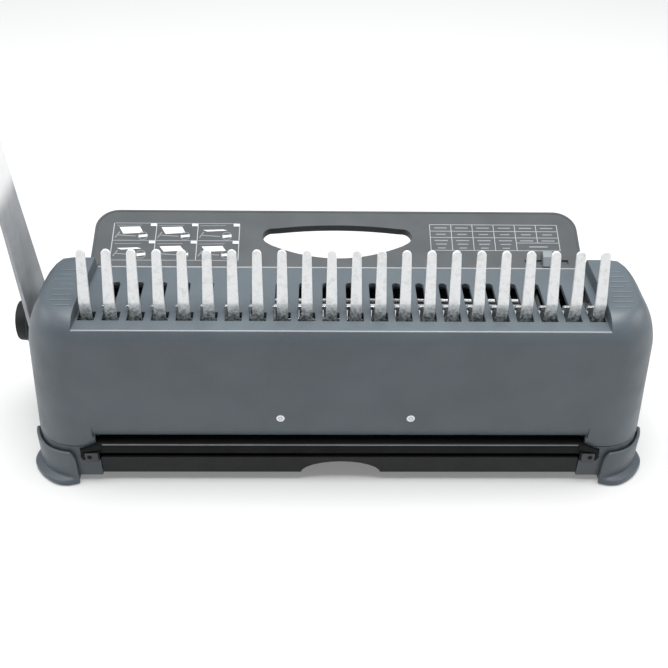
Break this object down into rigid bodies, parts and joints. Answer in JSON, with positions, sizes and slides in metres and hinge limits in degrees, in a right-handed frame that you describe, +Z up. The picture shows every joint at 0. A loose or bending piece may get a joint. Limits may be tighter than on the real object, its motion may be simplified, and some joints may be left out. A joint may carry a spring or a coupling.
{
  "type": "comb binding machine",
  "caption": "Lever-driven comb binding machine with fixed fingers, sliding comb opener, rear two-hole slot, chip drawer and folding paper table.",
  "frame": {"origin": "middle of the footprint's bounding box, on the desk under the feet", "axes": "+X towards the plain end (the user's left), +Y from the rear wall to the user, +Z up"},
  "size_m": [0.4104, 0.216, 0.3331],
  "materials": {
    "housing": "blue-grey moulded plastic, fine texture",
    "base": "grey moulded plastic",
    "shoe": "blue-grey moulded plastic",
    "rubber": "black rubber",
    "frame_steel": "grey zinc-primed sheet",
    "bush_brass": "turned",
    "tool_steel": "ground",
    "zinc_steel": "bright zinc plate, mottled at the root",
    "shaft_steel": "bright drawn",
    "lever_steel": "satin zinc plate",
    "black_plastic": "near-black moulded plastic",
    "grip_rubber": "soft matt grip",
    "table": "neutral grey moulded plastic",
    "guide_plastic": "light grey moulded plastic"
  },
  "bodies": {
    "machine": {"upper_housing": "housing", "base_housing": "base", "corner_shoe_rear_lever_side": "shoe", "corner_shoe_rear_plain_side": "shoe", "corner_shoe_front_lever_side": "shoe", "corner_shoe_front_plain_side": "shoe", "foot_pad_rear_lever_side": "rubber", "foot_pad_rear_plain_side": "rubber", "foot_pad_front_lever_side": "rubber", "foot_pad_front_plain_side": "rubber", "side_frame_lever_side": "frame_steel", "side_frame_plain_side": "frame_steel", "shaft_bush_lever_side": "bush_brass", "shaft_bush_plain_side": "bush_brass", "die_plate": "tool_steel", "guide_plate": "tool_steel", "finger_plate": "zinc_steel", "flap_bracket_lever_side": "base", "flap_bracket_plain_side": "base", "lid_hinge_rod": "shaft_steel", "return_spring_lever_side": "shaft_steel", "return_spring_plain_side": "shaft_steel"},
    "lever": {"lever_arm": "lever_steel", "lever_grip": "grip_rubber", "lever_knob": "black_plastic", "lever_collar": "black_plastic", "drive_shaft": "shaft_steel", "opener_crank_lever_side": "frame_steel", "opener_crank_plain_side": "frame_steel", "punch_cam_lever_side": "frame_steel", "punch_cam_plain_side": "frame_steel"},
    "opener": {"opener_rack": "zinc_steel"},
    "punch": {"punch_carrier": "frame_steel", "comb_punch_01": "tool_steel", "comb_punch_02": "tool_steel", "comb_punch_03": "tool_steel", "comb_punch_04": "tool_steel", "comb_punch_05": "tool_steel", "comb_punch_06": "tool_steel", "comb_punch_07": "tool_steel", "comb_punch_08": "tool_steel", "comb_punch_09": "tool_steel", "comb_punch_10": "tool_steel", "comb_punch_11": "tool_steel", "comb_punch_12": "tool_steel", "comb_punch_13": "tool_steel", "comb_punch_14": "tool_steel", "comb_punch_15": "tool_steel", "comb_punch_16": "tool_steel", "comb_punch_17": "tool_steel", "comb_punch_18": "tool_steel", "comb_punch_19": "tool_steel", "comb_punch_20": "tool_steel", "comb_punch_21": "tool_steel", "hole_punch_lever_side": "tool_steel", "hole_punch_plain_side": "tool_steel"},
    "flap": {"slot_flap": "black_plastic"},
    "drawer": {"chip_drawer": "black_plastic"},
    "table": {"lid": "table"},
    "sheet_guide": {"edge_guide": "guide_plastic"}
  },
  "joints": [
    {"name": "lever_pull", "type": "hinge", "parent": "machine", "child": "lever", "pos_m": [0.00582, -0.02776, 0.073], "axis": [-1, 0, 0], "range_deg": [0, 90]},
    {"name": "rack_slide", "type": "slide", "parent": "machine", "child": "opener", "axis": [0, 1, 0], "range_m": [0, 0.02405]},
    {"name": "punch_press", "type": "slide", "parent": "machine", "child": "punch", "axis": [0, 0, -1], "range_m": [0, 0.01001], "stiffness_N_per_m": 1500, "springref_m": -0.005, "deforming": ["return_spring_lever_side", "return_spring_plain_side"]},
    {"name": "flap_swing", "type": "hinge", "parent": "machine", "child": "flap", "pos_m": [0.00582, -0.10326, 0.0226], "axis": [1, 0, 0], "range_deg": [0, 55]},
    {"name": "drawer_slide", "type": "slide", "parent": "machine", "child": "drawer", "axis": [0, -1, 0], "range_m": [0, 0.1]},
    {"name": "table_fold", "type": "hinge", "parent": "machine", "child": "table", "pos_m": [0.00582, 0.03224, 0.047], "axis": [1, 0, 0], "range_deg": [0, 79]},
    {"name": "guide_slide", "type": "slide", "parent": "table", "child": "sheet_guide", "axis": [1, 0, 0], "range_m": [-0.012, 0.012]}
  ],
  "couplings": [
    {"joint": "rack_slide", "follows": "lever_pull", "m_per_rad": 0.015305},
    {"joint": "punch_press", "follows": "lever_pull", "m_per_rad": 0.0063662}
  ]
}
